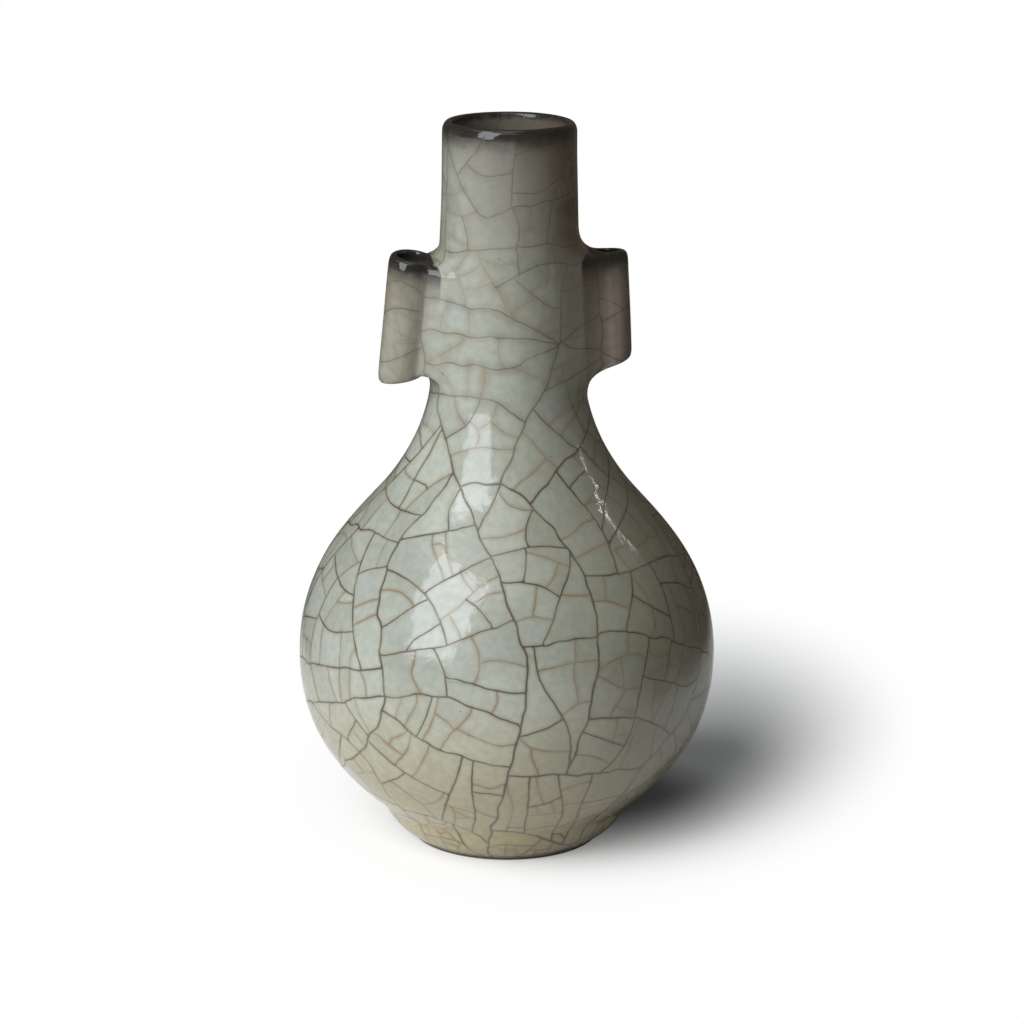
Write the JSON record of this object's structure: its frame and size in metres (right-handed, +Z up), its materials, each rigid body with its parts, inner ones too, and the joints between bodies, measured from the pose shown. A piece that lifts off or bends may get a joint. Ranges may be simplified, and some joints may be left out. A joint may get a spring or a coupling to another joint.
{
  "type": "bottle vase",
  "caption": "Pear-shaped celadon bottle vase with a long neck, tubular lugs and a low foot ring, in crackled glaze.",
  "frame": {"origin": "centre of the circle that the foot ring rests on", "axes": "+Z up along the axis of the vase, the two lugs on -X and +X, the pictured side towards -Y"},
  "size_m": [0.1208, 0.1208, 0.21],
  "materials": {
    "celadon_glaze": "thick glossy celadon glaze with dark and light crackle lines, thin and brown at the rims",
    "foot_glaze": "thin warm celadon glaze with fine crackle over a brown unglazed rim"
  },
  "bodies": {
    "root": {"foot_ring": "foot_glaze", "lower_body": "celadon_glaze", "upper_body": "celadon_glaze", "neck": "celadon_glaze", "left_lug": "celadon_glaze", "right_lug": "celadon_glaze"}
  },
  "joints": []
}
